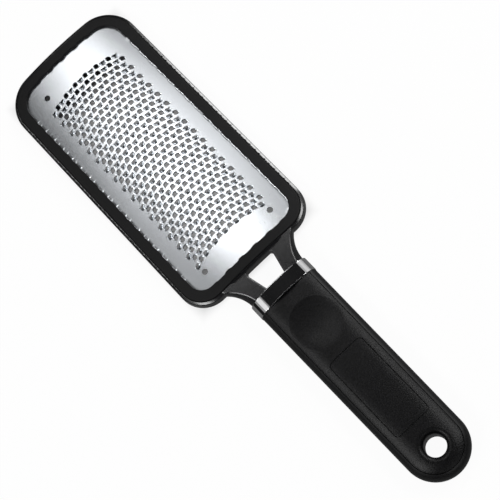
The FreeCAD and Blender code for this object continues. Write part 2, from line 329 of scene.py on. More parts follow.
matteBlack = {"sockets": {"Specular IOR Level": 0.19}, "stretch": (1, 1, 1),
              "size": 3200, "blotch": 90, "low": 0.50, "high": 0.60, "bump": 0.25, "depth": 0.03,
              "tones": ((0.004, 0.004, 0.0042), (0.007, 0.007, 0.0074))}
glossBlack = {"sockets": {"Specular IOR Level": 0.7}, "stretch": (1, 1, 1),
              "size": 900, "blotch": 40, "low": 0.15, "high": 0.19, "bump": 0.04, "depth": 0.02,
              "tones": ((0.006, 0.006, 0.0065), (0.010, 0.010, 0.011))}
chromePlate = {"sockets": {"Metallic": 1.0}, "stretch": (0.25, 1.0, 1.0),
               "size": 1500, "blotch": 160, "low": 0.05, "high": 0.054, "bump": 0.004, "depth": 0.002,
               "tones": ((0.78, 0.78, 0.785), (0.82, 0.82, 0.825))}
softTouch = {"sockets": {"Specular IOR Level": 0.2}, "stretch": (1, 1, 1),
             "size": 2000, "blotch": 120, "low": 0.34, "high": 0.40, "bump": 0.8, "depth": 0.10,
             "tones": ((0.0012, 0.0012, 0.0014), (0.008, 0.008, 0.0086))}
hardSatin = {"sockets": {}, "stretch": (1, 1, 1),
             "size": 1800, "blotch": 70, "low": 0.30, "high": 0.40, "bump": 0.10, "depth": 0.02,
             "tones": ((0.004, 0.004, 0.0043), (0.008, 0.008, 0.0085))}


# outline of the head: stations round it, each able to give its point at any distance in from the edge

bayCut = {"band": 6.65, "farGain": 0.45, "depth": 0.45, "ramp": 1.2, "sideShare": 0.45, "sidePitch": 6.4,
          "sideLength": 2.8, "endPitch": 7.9, "endLength": 5.0, "rampSteps": 4}


def bayStops(first, last, pitch, length):
    count = int((last - first) / pitch)
    begin = (first + last - (count - 1) * pitch) / 2
    ramp, steps = bayCut["ramp"], bayCut["rampSteps"]
    shares = [(k / steps, 0.5 - 0.5 * math.cos(math.pi * k / steps)) for k in range(steps + 1)]
    stops = [(first, 0)]
    for i in range(count):
        middle = begin + i * pitch
        stops += [(middle - length / 2 + ramp * (u - 0.5), share) for u, share in shares]
        stops += [(middle + length / 2 + ramp * (0.5 - u), share) for u, share in reversed(shares)]
    return stops + [(last, 0)]


def headStations():
    farSide = farX + head["farCorner"]
    nearSide = nearX - head["nearCorner"]
    farEnd = head["width"] / 2 - head["farCorner"]
    nearEnd = head["width"] / 2 - head["nearCorner"]
    side = bayStops(farSide, nearSide, bayCut["sidePitch"], bayCut["sideLength"])
    side = [(x, bay * bayCut["sideShare"]) for x, bay in side]
    nearBays = bayStops(-nearEnd, nearEnd, bayCut["endPitch"], bayCut["endLength"])
    farBays = bayStops(-farEnd, farEnd, bayCut["endPitch"], bayCut["endLength"])
    turns = [math.pi / 2 * i / head["cornerSteps"] for i in range(1, head["cornerSteps"])]
    around = [("side", -1, x, bay) for x, bay in side]
    around += [("corner", (1, -1), t, 0) for t in turns]
    around += [("end", 1, y, bay) for y, bay in nearBays]
    around += [("corner", (1, 1), math.pi / 2 - t, 0) for t in turns]
    around += [("side", 1, x, bay) for x, bay in reversed(side)]
    around += [("corner", (-1, 1), t, 0) for t in turns]
    around += [("end", -1, y, bay) for y, bay in reversed(farBays)]
    around += [("corner", (-1, -1), math.pi / 2 - t, 0) for t in turns]
    return around


def headPoint(station, inset, farExtra=0.0):
    kind, which, place, _ = station
    halfWidth = head["width"] / 2 - inset
    x0, x1 = farX + inset + farExtra, nearX - inset
    farR = max(head["farCorner"] - inset, head["leastCorner"])
    nearR = max(head["nearCorner"] - inset, head["leastCorner"])
    if kind == "side":
        return min(max(place, x0 + farR), x1 - nearR), which * halfWidth
    if kind == "end":
        r = nearR if which > 0 else farR
        return (x1 if which > 0 else x0), min(max(place, r - halfWidth), halfWidth - r)
    way, side = which
    r, x = (nearR, x1) if way > 0 else (farR, x0)
    return x - way * (r - r * math.sin(place)), side * (halfWidth - r + r * math.cos(place))


def ringSweep(profile):
    stations = headStations()
    verts, faces = [], []
    for inset, bayShare, layer, lift, farExtra in profile:
        for s in stations:
            x, y = headPoint(s, inset - bayShare * s[3] * bayCut["depth"], farExtra)
            verts.append((max(x, farX + head["farTrim"]), y, max(archZ(layer, y) + lift, 0.0)))
    n, rings = len(stations), len(profile)
    for i in range(rings):
        for j in range(n):
            a, b = i * n, (i + 1) % rings * n
            k = (j + 1) % n
            faces.append((a + j, a + k, b + k, b + j))
    return verts, faces


bezel = {"outer": 1.62, "edgeRound": 0.55, "innerRound": 0.35, "gap": 0.05, "bayReach": 0.8}


def makeBezel(material):
    top = arch["bezelTop"] - arch["sheetTop"]
    band, edge, lip = bayCut["band"], bezel["edgeRound"], bezel["innerRound"]
    section = [(bezel["outer"], bezel["gap"])]
    section += roundProfile(bezel["outer"] + edge, top - edge, edge, 180, 90)
    section += roundProfile(band - lip, top - lip, lip, 90, 0) + [(band, bezel["gap"])]
    profile = []
    for inset, height in section:
        byBays = inset > band - bezel["bayReach"]
        profile.append((inset, int(byBays), arch["sheetTop"], height, -bayCut["farGain"] if byBays else 0))
    makePiece("frameBezel", *ringSweep(profile), "frame_bezel", "bezel_black", material)


carrier = {"shoulder": 1.5, "plateEdge": 3.28, "opening": 11.6, "farExtra": 12.9, "skirt": 0.9,
           "shoulderRound": 0.4, "draft": 0.2, "facet": 0.72, "facetSlope": 0.27, "bevel": 0.4,
           "spigotGap": 0.12, "spigotStart": 0.35, "spigotEnd": 0.1}
neckBar = {"rootHalf": 21.0, "endHalf": 14.8, "hollow": 17.0, "low": 3.36, "thick": 5.0, "outerRound": 0.8,
           "flankRoot": 0.8, "flankEnd": 2.7, "flankSteps": 6, "facet": 0.45, "facetDrop": 0.2,
           "innerRound": 0.8, "windowRoot": 7.6, "windowEnd": 4.8, "windowRound": 1.4,
           "rootStart": 0.75, "sunkIn": 1.2, "sunkOut": 1.0, "steps": 20, "flankFoot": 0.2,
           "facetStops": (0.12, 0.88, 1.0), "topRun": 0.1}


def neckOuter(x):
    # hollow arc from the head's wall to the ferrule
    ax, ay, bx, by = nearX - neckBar["rootStart"], neckBar["rootHalf"], ferruleX, neckBar["endHalf"]
    chord = math.hypot(bx - ax, by - ay)
    reach = math.sqrt(neckBar["hollow"] ** 2 - (chord / 2) ** 2)
    cx = (ax + bx) / 2 - (by - ay) / chord * reach
    cy = (ay + by) / 2 + (bx - ax) / chord * reach
    return cy - math.sqrt(neckBar["hollow"] ** 2 - (min(max(x, ax), bx) - cx) ** 2)


def alongNeck(x, first, last):
    return first + (last - first) * min(max((x - nearX) / runs["neck"], 0), 1)


def neckInner(x):
    r = neckBar["windowRound"]
    d = min(max(x - nearX, 0), r)
    return alongNeck(x, neckBar["windowRoot"], neckBar["windowEnd"]) - (r - math.sqrt(r * r - (r - d) ** 2))


def strutSection(x, side):
    inner, outer = neckInner(x), neckOuter(x)
    low, high = neckBar["low"], neckBar["low"] + neckBar["thick"]
    ro, ri = neckBar["outerRound"], neckBar["innerRound"]
    facet, drop = neckBar["facet"], neckBar["facetDrop"]
    flank = alongNeck(x, neckBar["flankRoot"], neckBar["flankEnd"])
    points = roundProfile(outer - ro, low + ro, ro, -90, 0)
    # flank as a quadratic curve, then a narrow facet along the upper edge
    foot, bend = (outer, low + ro + neckBar["flankFoot"]), (outer, high - drop - flank)
    top = (outer - flank, high - drop)
    for i in range(neckBar["flankSteps"] + 1):
        u = i / neckBar["flankSteps"]
        shares = ((1 - u) ** 2, 2 * u * (1 - u), u * u)
        points.append(tuple(sum(w * p[k] for w, p in zip(shares, (foot, bend, top))) for k in (0, 1)))
    points += [(outer - flank - facet * u, high - drop * (1 - u)) for u in neckBar["facetStops"]]
    points.append((outer - flank - facet - neckBar["topRun"], high))
    points += roundProfile(inner + ri, high - ri, ri, 90, 180)
    points += roundProfile(inner + ri, low + ri, ri, 180, 270)
    return [(x, side * y, z) for y, z in points]


def makeCarrier(material):
    r, s, draft, facet = (carrier[k] for k in ("shoulderRound", "skirt", "draft", "facet"))
    fall = facet * carrier["facetSlope"]
    shoulder, seatEdge, bevel = carrier["shoulder"], carrier["plateEdge"], carrier["bevel"]
    profile = [(i, 0, arch["under"], h, 0) for i, h in roundProfile(s, s, s, 270, 180)]
    profile += [(i + draft, 0, arch["rim"], h - r - fall, 0) for i, h in roundProfile(r, 0, r, 180, 105)]
    profile += [(draft + r + facet, 0, arch["rim"], 0, 0), (shoulder, 0, arch["rim"], 0, 0),
                (shoulder, 0, arch["sheetTop"], 0, 0), (seatEdge, 0, arch["sheetTop"], 0, 0),
                (seatEdge, 0, arch["seat"], 0, 0)]
    # the opening under the teeth, with its edges broken
    inside = ((bevel, "seat", 0), (0, "seat", -bevel), (0, "under", bevel), (bevel, "under", 0))
    profile += [(carrier["opening"] - back, 0, arch[layer], lift, carrier["farExtra"])
                for back, layer, lift in inside]
    x0, x1 = nearX - neckBar["sunkIn"], ferruleX + neckBar["sunkOut"]
    xs = [x0 + (x1 - x0) * i / neckBar["steps"] for i in range(neckBar["steps"] + 1)]
    struts = [loft([strutSection(x, side) for x in xs]) for side in (-1, 1)]
    spigotInset = ferruleSizes["wall"] + carrier["spigotGap"]
    spigotEnds = ferruleX + carrier["spigotStart"], handleX - carrier["spigotEnd"]
    spigot = loft([handleSection(x, spigotInset) for x in spigotEnds])
    verts, faces = joinMeshes(ringSweep(profile), *struts, spigot)
    makePiece("headFrame", verts, faces, "head_frame", "frame_black", material, sharp=40)


# handle: a rounded bar, its section given by how far in from the edge each height lies

handle = {"frontHalf": 15.35, "endHalf": 14.75, "thick": 12.0, "widest": 5.2, "crown": 2.4, "back": 3.4,
          "band": 2.5, "seam": 0.12, "frontFloor": 8.6, "rearFloor": 2.0, "gripGap": 0.05,
          "edgeDrop": 0.18, "edgeRoll": 0.3, "coreSetback": 0.05, "gripSetback": 0.06, "sideSteps": 44,
          "endSteps": 40, "bandSteps": 12, "roundSteps": 40}
hang = {"setback": 14.0, "radius": 4.7, "rim": 2.7, "rearRim": 0.8, "slack": 1e-4, "steps": 64}
gripEdge = handle["band"] + handle["seam"]
gripStart = handleX + handle["gripSetback"]
endCentre = endX - handle["endHalf"]
hangX = endX - hang["setback"]


def upperZ(inset, proud=0.0):
    wide, rise = handle["frontHalf"] + proud, handle["thick"] - handle["widest"] + proud
    share = np.clip((wide - np.asarray(inset, float)) / wide, 0, 1)
    return handle["widest"] + rise * (1 - share ** handle["crown"]) ** (1 / handle["crown"])


def lowerZ(inset, proud=0.0):
    wide, drop = handle["frontHalf"] + proud, handle["widest"] + proud
    share = np.clip((wide - np.asarray(inset, float)) / wide, 0, 1)
    return handle["widest"] - drop * (1 - share ** handle["back"]) ** (1 / handle["back"])


def handleSection(x, inset):
    steps = handle["roundSteps"]
    wide = handle["frontHalf"] + ferruleSizes["proud"] - inset
    rise = handle["thick"] - handle["widest"] + ferruleSizes["proud"] - inset
    drop = handle["widest"] - inset
    points = []
    for i in range(2 * steps):
        t = math.pi * i / steps
        c, s = math.cos(t), math.sin(t)
        power = 2 / (handle["crown"] if s > 0 else handle["back"])
        y = wide * math.copysign(abs(c) ** power, c)
        z = handle["widest"] + (rise * s ** power if s > 0 else -drop * abs(s) ** power)
        points.append((x, y, z))
    return points


def handleInset(x, y):
    taper = (handle["endHalf"] - handle["frontHalf"]) / (endCentre - handleX)
    half = handle["frontHalf"] + taper * (x - handleX)
    return np.where(x < endCentre, half - np.abs(y), handle["endHalf"] - np.hypot(x - endCentre, y))


def handlePlan(inset, start):
    front, end = handle["frontHalf"] - inset, handle["endHalf"] - inset
    n = handle["sideSteps"]
    left = [(start + (endCentre - start) * i / n, -(front + (end - front) * i / n)) for i in range(n)]
    turns = [math.pi * (i / handle["endSteps"] - 0.5) for i in range(handle["endSteps"] + 1)]
    cap = [(endCentre + end * math.cos(t), end * math.sin(t)) for t in turns]
    return left + cap + [(x, -y) for x, y in reversed(left)]


ferruleSizes = {"proud": 0.25, "wall": 1.5, "edge": 0.3, "backEdge": 0.12, "gap": 0.05, "backGap": 0.02,
                "edgeSteps": 6}


def makeFerrule(material):
    x0, x1 = ferruleX + ferruleSizes["gap"], handleX - ferruleSizes["backGap"]
    turns = np.linspace(0, math.pi / 2, ferruleSizes["edgeSteps"])
    e = ferruleSizes["edge"]
    outside = [(x0 + e - e * math.cos(t), e - e * math.sin(t)) for t in turns]
    e = ferruleSizes["backEdge"]
    outside += [(x1 - e + e * math.sin(t), e - e * math.cos(t)) for t in turns]
    outside += [(x1, ferruleSizes["wall"]), (x0, ferruleSizes["wall"])]
    verts, faces = loft([handleSection(x, inset) for x, inset in outside], closed=True)
    makePiece("chromeFerrule", verts, faces, "ferrule", "ferrule_chrome", material, sharp=50)


def makeCore(material):
    start, band = handleX + handle["coreSetback"], handle["band"]
    floors = handle["rearFloor"], handle["frontFloor"]
    insets = [band * (1 - math.cos(t)) for t in np.linspace(0, math.pi / 2, handle["bandSteps"])]
    rings = [(band, floors[0])] + [(i, float(lowerZ(i))) for i in reversed(insets)]
    rings += [(i, float(upperZ(i))) for i in insets[1:]] + [(band, floors[1])]
    plans = [[(x, y, z) for x, y in handlePlan(inset, start)] for inset, z in rings]
    n, count = len(plans[0]), len(plans)
    verts = [p for plan in plans for p in plan]
    faces = []
    for i in range(count - 1):
        a, b = i * n, (i + 1) * n
        faces += [(a + j, a + j + 1, b + j + 1, b + j) for j in range(n - 1)]
    front = [i * n for i in range(count)] + [i * n + n - 1 for i in reversed(range(count))]
    faces.append(tuple(front))
    bore = circle(hangX, 0, hang["radius"], hang["steps"])
    parts = [(verts, faces)]
    for z in floors:
        flat, tris = fillRegion(handlePlan(band, start), [bore])
        parts.append(([(x, y, z) for x, y in flat], [tuple(t) for t in tris]))
    parts.append(loft([[(x, y, z) for x, y in bore] for z in floors], capped=False))
    makePiece("handleCore", *joinMeshes(*parts), "handle_core", "core_black", material)


thumb = {"setback": 19.0, "radius": 11.75, "deep": 0.95, "fade": 0.9, "rings": (0, 0.25, 0.75), "steps": 96}
label = {"setback": 35.5, "length": 41.7, "width": 18.4, "corner": 2.0, "groove": 0.42, "deep": 0.3,
         "slope": 0.1, "cornerSteps": 6, "step": 1.5}
thumbX = handleX + thumb["setback"]


def labelLoop(inset):
    x0, x1 = handleX + label["setback"] + inset, handleX + label["setback"] + label["length"] - inset
    y, r = label["width"] / 2 - inset, label["corner"] - inset
    points = []
    middles = ((x1 - r, y - r), (x0 + r, y - r), (x0 + r, r - y), (x1 - r, r - y))
    for quarter, (cx, cy) in enumerate(middles):
        points += roundProfile(cx, cy, r, 90 * quarter, 90 * quarter + 90, label["cornerSteps"])
    return np.array(densify(points, label["step"]))


def labelInset(x, y):
    x0, x1 = handleX + label["setback"], handleX + label["setback"] + label["length"]
    r = label["corner"]
    dx = np.maximum(np.abs(x - (x0 + x1) / 2) - (x1 - x0) / 2 + r, 0)
    dy = np.maximum(np.abs(y) - label["width"] / 2 + r, 0)
    return r - np.hypot(dx, dy)


def thumbDrop(x, y):
    away = np.hypot(x - thumbX, y)
    share = np.clip(1 - np.square(away / thumb["radius"]), 0, 1)
    towardsEnd = 0.5 + 0.5 * (x - thumbX) / np.maximum(away, 0.001)
    return thumb["deep"] * share ** (1 + thumb["fade"] * towardsEnd * towardsEnd)


def rimDrop(x, y, rim):
    # points on the bore count as on it, whatever the last digit
    t = np.clip(np.hypot(x - hangX, y) - hang["radius"] - hang["slack"], 0, rim)
    return rim - np.sqrt(np.maximum(rim ** 2 - np.square(rim - t), 0))


def frontZ(flat):
    x, y = flat[:, 0], flat[:, 1]
    inset = handleInset(x, y)
    z = upperZ(inset) - thumbDrop(x, y) - rimDrop(x, y, hang["rim"])
    depth = labelInset(x, y)
    share = np.clip(np.minimum(depth, label["groove"] - depth) / label["slope"], 0, 1)
    rolled = np.clip(1 - (inset - gripEdge) / handle["edgeRoll"], 0, 1) ** 2
    return z - label["deep"] * share - handle["edgeDrop"] * rolled


def rearZ(flat):
    x, y = flat[:, 0], flat[:, 1]
    return lowerZ(handleInset(x, y)) + rimDrop(x, y, hang["rearRim"])


def gridPoints(outer, step, clear):
    xs = np.arange(handleX, endX, step)
    ys = np.arange(-handle["frontHalf"], handle["frontHalf"], step)
    gx, gy = np.meshgrid(xs, ys)
    gx = gx + np.where(np.arange(len(ys))[:, None] % 2, step / 2, 0)
    points = np.column_stack((gx.ravel(), gy.ravel()))
    return points[insideLoop(outer, points) & clear(points)]


def slabParts(outer, hole, lines, points, zTop, zLow):
    flat, tris = fillRegion(outer, [hole], lines, points)
    top = ([(x, y, h) for (x, y), h in zip(flat, zTop(flat))], [tuple(t) for t in tris])
    base, low = fillRegion(outer, [hole])
    bottom = ([(x, y, zLow) for x, y in base], [tuple(t) for t in low])
    walls = []
    for loop in (np.array(outer), np.array(hole)):
        upper = [(x, y, h) for (x, y), h in zip(loop, zTop(loop))]
        walls.append(loft([[(x, y, zLow) for x, y in loop], upper], capped=False))
    return joinMeshes(top, bottom, *walls)


# how each panel is meshed: lines in from its edge and round the hole, then a grid that keeps clear of them
frontNet = {"edges": (0.12, 0.3, 0.6, 1.0, 1.6, 2.3), "rims": (0.04, 0.13, 0.3, 0.55, 1.0), "startShare": 0.8,
            "grid": 1.25, "edgeClear": 3.0, "startClear": 2.6, "thumbClear": 1.2, "clear": 0.4}
rearNet = {"edges": (0.3, 0.9, 1.8, 3.2, 5.2), "rims": (0.1, 0.35, 1.0), "startShare": 1.0,
           "grid": 2.0, "edgeClear": 5.8, "holeClear": 1.4}


def gripLoops(net, rim):
    outer = np.array(handlePlan(gripEdge, gripStart))
    bore = circle(hangX, 0, hang["radius"], hang["steps"])
    lines = [np.array(handlePlan(gripEdge + d, gripStart + net["startShare"] * d)) for d in net["edges"]]
    lines += [circle(hangX, 0, hang["radius"] + rim * f, hang["steps"]) for f in net["rims"]]
    return outer, bore, lines


def makeFrontGrip(material):
    outer, bore, lines = gripLoops(frontNet, hang["rim"])
    lines += [circle(thumbX, 0, thumb["radius"] - f, thumb["steps"]) for f in thumb["rings"]]
    groove, slope, gap = label["groove"], label["slope"], frontNet["clear"]
    lines += [labelLoop(f) for f in (0, slope, groove - slope, groove)]

    def clear(p):  # keeps the free points away from the lines
        x, y = p[:, 0], p[:, 1]
        away = np.hypot(x - thumbX, y)
        depth = labelInset(x, y)
        ok = (handleInset(x, y) > gripEdge + frontNet["edgeClear"]) & (x > gripStart + frontNet["startClear"])
        ok &= np.hypot(x - hangX, y) > hang["radius"] + hang["rim"] + gap
        ok &= (away > thumb["radius"] + gap) | (away < thumb["radius"] - frontNet["thumbClear"])
        return ok & ((depth < -gap) | (depth > groove + gap))

    points = gridPoints(outer, frontNet["grid"], clear)
    verts, faces = slabParts(outer, bore, lines, points, frontZ, handle["frontFloor"] + handle["gripGap"])
    makePiece("frontGrip", verts, faces, "front_grip", "grip_soft", material, sharp=60, heights=frontZ)


def makeRearGrip(material):
    outer, bore, lines = gripLoops(rearNet, hang["rearRim"])

    def clear(p):
        x, y = p[:, 0], p[:, 1]
        offHole = np.hypot(x - hangX, y) > hang["radius"] + rearNet["holeClear"]
        return (handleInset(x, y) > gripEdge + rearNet["edgeClear"]) & offHole

    points = gridPoints(outer, rearNet["grid"], clear)
    verts, faces = slabParts(outer, bore, lines, points, rearZ, handle["rearFloor"] - handle["gripGap"])
    makePiece("rearGrip", verts, faces, "rear_grip", "grip_soft", material, sharp=60, heights=rearZ, way=-1)


# rasp plate: one tooth tile, repeated by a node tree, with a plain margin round the field

teeth = {"rows": 33, "perRow": 13, "rowPitch": 3.15, "pitch": 3.17, "bow": 71.0, "setback": 20.3,
         "front": 0.78, "back": 0.76, "half": 1.08, "lip": 1.1, "boxy": 0.5, "arc": 0.75, "crest": 0.8,
         "rampBack": 0.74, "rampSide": 0.30, "rampFront": 0.3, "waistBack": 0.24, "waistSide": 0.35,
         "waistLift": 0.55, "waistFront": 0.12, "waistWide": 0.18, "frontDip": 0.04, "steps": 12,
         "joinWithin": 0.01}
sheet = {"edge": 3.4, "thick": 0.24, "holeRadius": 1.4, "farHole": (14.8, -17.3), "nearHole": (13.9, 19.3),
         "lipSlope": 0.68, "rightLip": 0.22, "leftLip": 0.12, "leftReach": 2.5, "lipTop": 0.03,
         "lipBack": -0.02, "lipEnds": 6, "edgeStep": 1.6, "holeSteps": 28, "grid": 1.5, "gridFar": 5.0,
         "gridNear": 4.0, "gridHalf": 26.25, "clear": 0.8, "weld": 0.02}


def toothTile():
    front, back, half = teeth["front"], teeth["back"], teeth["half"]
    rampBack, rampSide = teeth["rampBack"], teeth["rampSide"]
    rim, waist, foot = [], [], []
    for i in range(teeth["steps"] + 1):  # round the back, from one front corner to the other
        c, s = math.cos(math.pi * i / teeth["steps"]), math.sin(math.pi * i / teeth["steps"])
        out = math.copysign(abs(c) ** teeth["boxy"], c)
        lift = teeth["lip"] * s ** teeth["crest"]
        x = front - (front + back) * s ** teeth["arc"]
        rim.append((x, half * out, lift))
        waist.append((x - teeth["waistBack"] * rampBack * s, (half + teeth["waistSide"] * rampSide) * out,
                      teeth["waistLift"] * lift))
        foot.append((x - rampBack * s, (half + rampSide) * out, 0.0))
    for share in (-0.5, 0.0, 0.5):  # straight front edge
        rim.append((front, half * share, -teeth["frontDip"]))
        waist.append((front + teeth["waistFront"], (half + teeth["waistWide"]) * share, 0.0))
        foot.append((front + teeth["rampFront"], (half + rampSide) * share, 0.0))
    n = len(rim)
    faces = []
    for a in (0, n):
        faces += [(a + j, a + (j + 1) % n, a + n + (j + 1) % n, a + n + j) for j in range(n)]
    hx, hy = teeth["rowPitch"] / 2, teeth["pitch"] / 2
    border = [(-hx, -hy), (0, -hy), (hx, -hy), (hx, 0), (hx, hy), (0, hy), (-hx, hy), (-hx, 0)]
    flat, tris = fillRegion(border, [[(x, y) for x, y, _ in foot]])
    ground = ([(x, y, 0.0) for x, y in flat], [tuple(t) for t in tris])
    verts, faces = joinMeshes((rim + waist + foot, faces), ground)
    mesh = bpy.data.meshes.new("toothTile")
    bm = bmesh.new()
    made = [bm.verts.new(v) for v in verts]
    for f in faces:
        bm.faces.new([made[i] for i in f])
    faceUp(bm, meshing["weld"])
    bm.to_mesh(mesh)
    bm.free()
    return addObject("toothTile", mesh)


class nodeMaker:
    def __init__(self, tree):
        self.tree = tree

    def add(self, kind, *links, **settings):
        node = self.tree.nodes.new(kind)
        for key, value in settings.items():
            setattr(node, key, value)
        for i, source in enumerate(links):
            if source is None:
                continue
            if hasattr(source, "is_output"):
                self.tree.links.new(source, node.inputs[i])
            else:
                node.inputs[i].default_value = source
        return node

    def math(self, operation, a, b=None):
        return self.add("ShaderNodeMath", a, b, operation=operation).outputs[0]


def toothFieldTree(material):
    tree = bpy.data.node_groups.new("toothField", "GeometryNodeTree")
    face = tree.interface
    face.new_socket("Geometry", in_out="OUTPUT", socket_type="NodeSocketGeometry")
    face.new_socket("Tile", in_out="INPUT", socket_type="NodeSocketObject")
    for name in ("Rows", "Teeth"):
        face.new_socket(name, in_out="INPUT", socket_type="NodeSocketInt")
    for name in ("Row Pitch", "Tooth Pitch", "Start", "Bow Radius", "Arch Radius", "Arch Axis"):
        face.new_socket(name, in_out="INPUT", socket_type="NodeSocketFloat")
    make = nodeMaker(tree)
    given = tree.nodes.new("NodeGroupInput").outputs
    index = make.add("GeometryNodeInputIndex").outputs[0]
    row = make.math("FLOOR", make.math("DIVIDE", make.math("ADD", index, 0.5), given["Teeth"]))
    place = make.math("SUBTRACT", index, make.math("MULTIPLY", row, given["Teeth"]))
    shift = make.math("MODULO", row, 2.0)
    x = make.math("ADD", make.math("MULTIPLY", row, given["Row Pitch"]), given["Start"])
    middle = make.math("MULTIPLY", make.math("SUBTRACT", given["Teeth"], 1.0), 0.5)
    across = make.math("SUBTRACT", place, middle)
    offset = make.math("MULTIPLY", make.math("SUBTRACT", shift, 0.5), 0.5)
    y = make.math("MULTIPLY", make.math("ADD", across, offset), given["Tooth Pitch"])
    spot = make.add("ShaderNodeCombineXYZ", x, y).outputs[0]
    points = make.add("GeometryNodePoints", make.math("MULTIPLY", given["Rows"], given["Teeth"]), spot)
    parity = make.math("MODULO", make.math("ADD", place, shift), 2.0)
    turn = make.math("MULTIPLY", make.math("SUBTRACT", 1.0, parity), math.pi)
    spin = make.add("ShaderNodeCombineXYZ", None, None, turn).outputs[0]
    tile = make.add("GeometryNodeObjectInfo", given["Tile"])
    placed = make.add("GeometryNodeInstanceOnPoints", points.outputs[0])
    tree.links.new(tile.outputs["Geometry"], placed.inputs["Instance"])
    tree.links.new(spin, placed.inputs["Rotation"])
    whole = make.add("GeometryNodeRealizeInstances", placed.outputs[0])
    merged = make.add("GeometryNodeMergeByDistance", whole.outputs[0])
    merged.inputs["Distance"].default_value = teeth["joinWithin"]
    # bow the rows towards the far end, then wrap the sheet round the arch
    where = make.add("ShaderNodeSeparateXYZ", make.add("GeometryNodeInputPosition").outputs[0]).outputs

    def drop(radius):
        across = make.math("MULTIPLY", where[1], where[1])
        return make.math("SQRT", make.math("SUBTRACT", make.math("MULTIPLY", radius, radius), across))

    bowed = make.math("ADD", where[0], make.math("SUBTRACT", given["Bow Radius"], drop(given["Bow Radius"])))
    level = drop(given["Arch Radius"])
    lean = make.math("DIVIDE", where[1], given["Arch Radius"])
    upright = make.math("DIVIDE", level, given["Arch Radius"])
    side = make.math("ADD", where[1], make.math("MULTIPLY", where[2], lean))
    ground = make.math("ADD", level, given["Arch Axis"])
    height = make.math("ADD", ground, make.math("MULTIPLY", where[2], upright))
    target = make.add("ShaderNodeCombineXYZ", bowed, side, height).outputs[0]
    moved = make.add("GeometryNodeSetPosition", merged.outputs[0])
    tree.links.new(target, moved.inputs["Position"])
    painted = make.add("GeometryNodeSetMaterial", moved.outputs[0])
    painted.inputs["Material"].default_value = material
    out = tree.nodes.new("NodeGroupOutput")
    tree.links.new(painted.outputs[0], out.inputs[0])
    return tree


def toothField(material):
    tile = toothTile()
    holder = addObject("toothField", bpy.data.meshes.new("toothFieldSeed"))
    modifier = holder.modifiers.new("teeth", "NODES")
    tree = toothFieldTree(material)
    modifier.node_group = tree
    values = {"Tile": tile, "Rows": teeth["rows"], "Teeth": teeth["perRow"], "Row Pitch": teeth["rowPitch"],
              "Tooth Pitch": teeth["pitch"], "Start": farX + teeth["setback"], "Bow Radius": teeth["bow"],
              "Arch Radius": arch["sheetTop"], "Arch Axis": axisZ}
    for item in tree.interface.items_tree:
        if item.in_out == "INPUT":
            modifier[item.identifier] = values[item.name]
    mesh = bakeModifiers(holder)
    for spare in (holder, tile):
        bpy.data.objects.remove(spare)
    return mesh


def fieldBorder(bm):
    # the longest open loop, walked in the mesh's own order so that each run gives the same
    loose = dict.fromkeys(e for e in bm.edges if len(e.link_faces) == 1)
    best = []
    while loose:
        edge, _ = loose.popitem()
        loop = [edge.verts[0], edge.verts[1]]
        while loop[-1] is not loop[0]:
            step = next((e for e in loop[-1].link_edges if e in loose), None)
            if step is None:
                break
            del loose[step]
            loop.append(step.other_vert(loop[-1]))
        if len(loop) > len(best):
            best = loop
    return [(v.co.x, v.co.y) for v in best[:-1]]


def spotKey(x, y):
    shift = 0.0013  # keeps plain values off the rounding limit
    return round(float(x) + shift, 2), round(float(y) + shift, 2)


def sheetLips():
    # where the sheet turns up against the bezel: all along the right, only in the bays on the left
    stations = headStations()
    right = [(t, 1.0) for t in stations if t[:2] in (("corner", (1, 1)), ("side", 1))]
    reach = sheet["leftReach"] / bayCut["sideShare"]
    left = [(t, min(1.0, reach * t[3])) for t in stations if t[:2] == ("side", -1)]
    threads, rises = [], {}
    for run, width in ((right, sheet["rightLip"]), (left, sheet["leftLip"])):
        for away, share in ((width, 0.0), (sheet["lipTop"], 1.0), (sheet["lipBack"], 0.0)):
            thread = [headPoint(t, bayCut["band"] + away - t[3] * bayCut["depth"]) for t, _ in run]
            threads.append(thread)
            for i, (place, (_, amount)) in enumerate(zip(thread, run)):
                ends = min(i, len(run) - 1 - i, sheet["lipEnds"]) / sheet["lipEnds"]
                rise = sheet["lipSlope"] * (width - sheet["lipTop"])
                rises[spotKey(*place)] = rise * share * amount * ends
    return threads, rises


def plateMargin(border):
    # the plain sheet round the teeth, with its three holes and its turned-up lips
    corners = [headPoint(s, sheet["edge"]) for s in headStations() if s[0] == "corner"]
    outline = densify(corners, sheet["edgeStep"])
    (farIn, farY), (nearIn, nearY) = sheet["farHole"], sheet["nearHole"]
    middles = ((farX + farIn, farY), (nearX - nearIn, -nearY), (nearX - nearIn, nearY))
    gaps = [border] + [circle(x, y, sheet["holeRadius"], sheet["holeSteps"]) for x, y in middles]
    threads, rises = sheetLips()
    step, half = sheet["grid"], sheet["gridHalf"]
    xs = np.arange(farX + sheet["gridFar"], nearX - sheet["gridNear"], step)
    gx, gy = np.meshgrid(xs, np.arange(-half, half + step / 2, step))
    points = np.column_stack((gx.ravel(), gy.ravel()))
    keep = insideLoop(outline, points)
    for loop in [*gaps, *threads]:
        apart = points[:, None, :] - np.array(loop)[None, :, :]
        keep &= np.min(np.hypot(apart[..., 0], apart[..., 1]), axis=1) > sheet["clear"]
    for loop in gaps:
        keep &= ~insideLoop(loop, points)
    flat, tris = fillRegion(outline, gaps, [], points[keep], threads)
    levels = [float(archZ(arch["sheetTop"], y)) + rises.get(spotKey(x, y), 0.0) for x, y in flat]
    return [(x, y, z) for (x, y), z in zip(flat, levels)], tris


